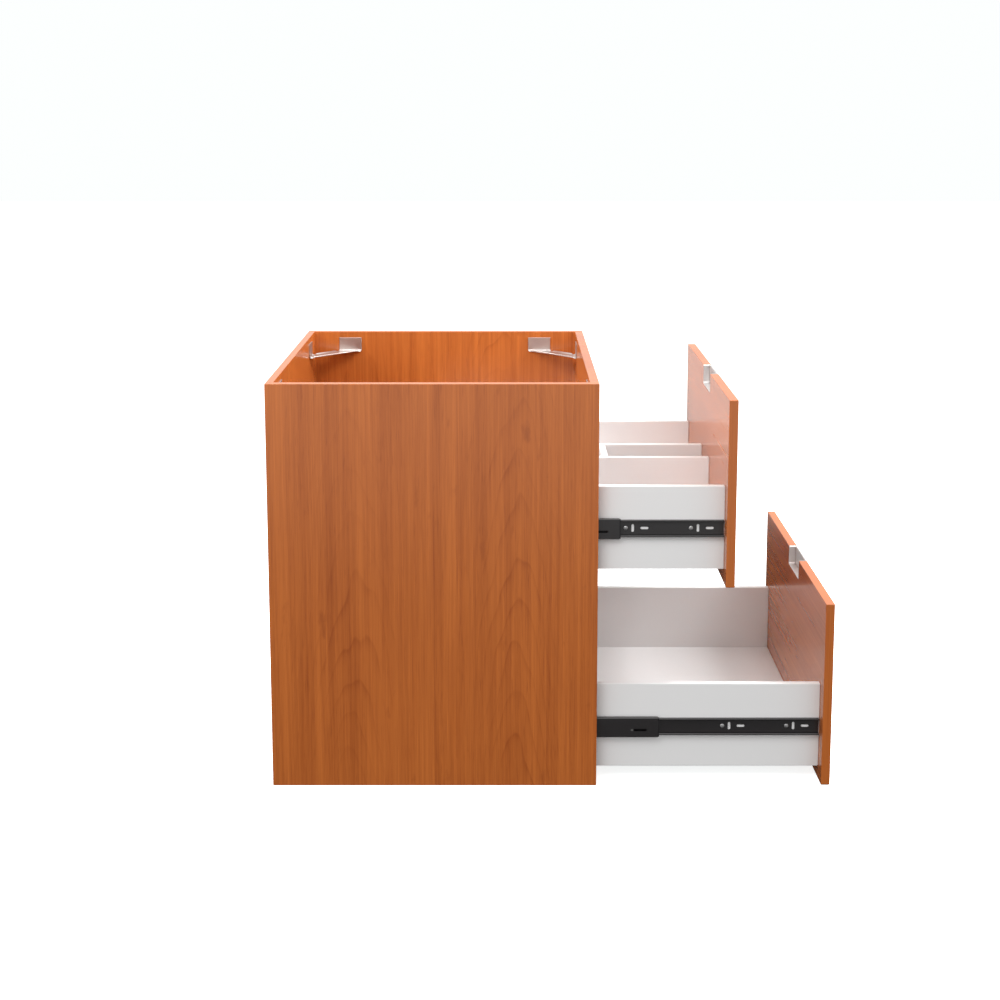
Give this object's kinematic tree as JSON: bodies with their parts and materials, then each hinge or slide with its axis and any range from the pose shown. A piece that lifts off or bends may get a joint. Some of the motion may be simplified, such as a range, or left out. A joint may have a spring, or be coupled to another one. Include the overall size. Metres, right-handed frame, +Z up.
{
  "type": "bathroom vanity cabinet",
  "caption": "Wall-hung vanity cabinet with an open top for a washbasin and full-width drawers on ball-bearing slides, the upper one divided around the drain pipe.",
  "frame": {"origin": "centre of the carcass underside", "axes": "+Z up, +Y towards the wall, the drawers open towards -Y, +X to the right as seen by a person facing the drawers"},
  "size_m": [0.6, 0.9387, 0.688],
  "materials": {
    "cherry_board": "cherry veneer board, satin, straight grain with cathedral figure",
    "white_board": "white faced board, smooth satin",
    "zinc_steel": "zinc plated sheet, satin",
    "pull_metal": "brushed sheet, bright bends",
    "black_steel": "black electrophoretic coat, satin",
    "cage_steel": "thin pressed strip, dull",
    "black_plastic": "moulded, fine matt"
  },
  "bodies": {
    "cabinet": {"side_panel_left": "cherry_board", "side_panel_right": "cherry_board", "back_panel": "cherry_board", "bottom_panel": "cherry_board", "top_rail": "cherry_board", "middle_rail": "cherry_board", "corner_brace_front_left": "zinc_steel", "corner_brace_front_right": "zinc_steel", "corner_brace_back_left": "zinc_steel", "corner_brace_back_right": "zinc_steel", "upper_slide_cabinet_member_left": "black_steel", "upper_slide_cabinet_member_right": "black_steel", "lower_slide_cabinet_member_left": "black_steel", "lower_slide_cabinet_member_right": "black_steel"},
    "upper_drawer": {"upper_drawer_front": "cherry_board", "upper_finger_pull": "pull_metal", "upper_drawer_side_left": "white_board", "upper_drawer_side_right": "white_board", "upper_drawer_bottom": "white_board", "upper_drawer_recess_panel": "white_board", "upper_drawer_divider_left": "white_board", "upper_drawer_divider_right": "white_board", "upper_drawer_back_left": "white_board", "upper_drawer_back_right": "white_board", "upper_slide_drawer_member_left": "black_steel", "upper_slide_drawer_member_right": "black_steel", "upper_slide_screw_left_1": "zinc_steel", "upper_slide_screw_left_2": "zinc_steel", "upper_slide_screw_right_1": "zinc_steel", "upper_slide_screw_right_2": "zinc_steel"},
    "upper_runners": {"upper_slide_runner_left": "black_steel", "upper_slide_runner_right": "black_steel", "upper_slide_runner_cap_left": "black_plastic", "upper_slide_runner_cap_right": "black_plastic"},
    "upper_outer_cages": {"upper_slide_outer_ball_cage_left": "cage_steel", "upper_slide_outer_ball_cage_right": "cage_steel"},
    "upper_inner_cages": {"upper_slide_inner_ball_cage_left": "cage_steel", "upper_slide_inner_ball_cage_right": "cage_steel"},
    "lower_drawer": {"lower_drawer_front": "cherry_board", "lower_finger_pull": "pull_metal", "lower_drawer_side_left": "white_board", "lower_drawer_side_right": "white_board", "lower_drawer_bottom": "white_board", "lower_drawer_back": "white_board", "lower_slide_drawer_member_left": "black_steel", "lower_slide_drawer_member_right": "black_steel", "lower_slide_screw_left_1": "zinc_steel", "lower_slide_screw_left_2": "zinc_steel", "lower_slide_screw_right_1": "zinc_steel", "lower_slide_screw_right_2": "zinc_steel"},
    "lower_runners": {"lower_slide_runner_left": "black_steel", "lower_slide_runner_right": "black_steel", "lower_slide_runner_cap_left": "black_plastic", "lower_slide_runner_cap_right": "black_plastic"},
    "lower_outer_cages": {"lower_slide_outer_ball_cage_left": "cage_steel", "lower_slide_outer_ball_cage_right": "cage_steel"},
    "lower_inner_cages": {"lower_slide_inner_ball_cage_left": "cage_steel", "lower_slide_inner_ball_cage_right": "cage_steel"}
  },
  "joints": [
    {"name": "upper_drawer_travel", "type": "slide", "parent": "cabinet", "child": "upper_drawer", "axis": [0, -1, 0], "range_m": [-0.2095, 0.2905]},
    {"name": "upper_runners_travel", "type": "slide", "parent": "cabinet", "child": "upper_runners", "axis": [0, -1, 0], "range_m": [-0.086, 0.1192]},
    {"name": "upper_outer_cages_travel", "type": "slide", "parent": "cabinet", "child": "upper_outer_cages", "axis": [0, -1, 0], "range_m": [-0.043, 0.0596]},
    {"name": "upper_inner_cages_travel", "type": "slide", "parent": "cabinet", "child": "upper_inner_cages", "axis": [0, -1, 0], "range_m": [-0.1478, 0.2049]},
    {"name": "lower_drawer_travel", "type": "slide", "parent": "cabinet", "child": "lower_drawer", "axis": [0, -1, 0], "range_m": [-0.37675, 0.12325]},
    {"name": "lower_runners_travel", "type": "slide", "parent": "cabinet", "child": "lower_runners", "axis": [0, -1, 0], "range_m": [-0.1545, 0.0506]},
    {"name": "lower_outer_cages_travel", "type": "slide", "parent": "cabinet", "child": "lower_outer_cages", "axis": [0, -1, 0], "range_m": [-0.0773, 0.0253]},
    {"name": "lower_inner_cages_travel", "type": "slide", "parent": "cabinet", "child": "lower_inner_cages", "axis": [0, -1, 0], "range_m": [-0.2657, 0.087]}
  ],
  "couplings": [
    {"joint": "upper_runners_travel", "follows": "upper_drawer_travel", "ratio": 0.41},
    {"joint": "upper_outer_cages_travel", "follows": "upper_drawer_travel", "ratio": 0.205},
    {"joint": "upper_inner_cages_travel", "follows": "upper_drawer_travel", "ratio": 0.705},
    {"joint": "lower_runners_travel", "follows": "lower_drawer_travel", "ratio": 0.41},
    {"joint": "lower_outer_cages_travel", "follows": "lower_drawer_travel", "ratio": 0.205},
    {"joint": "lower_inner_cages_travel", "follows": "lower_drawer_travel", "ratio": 0.705}
  ]
}
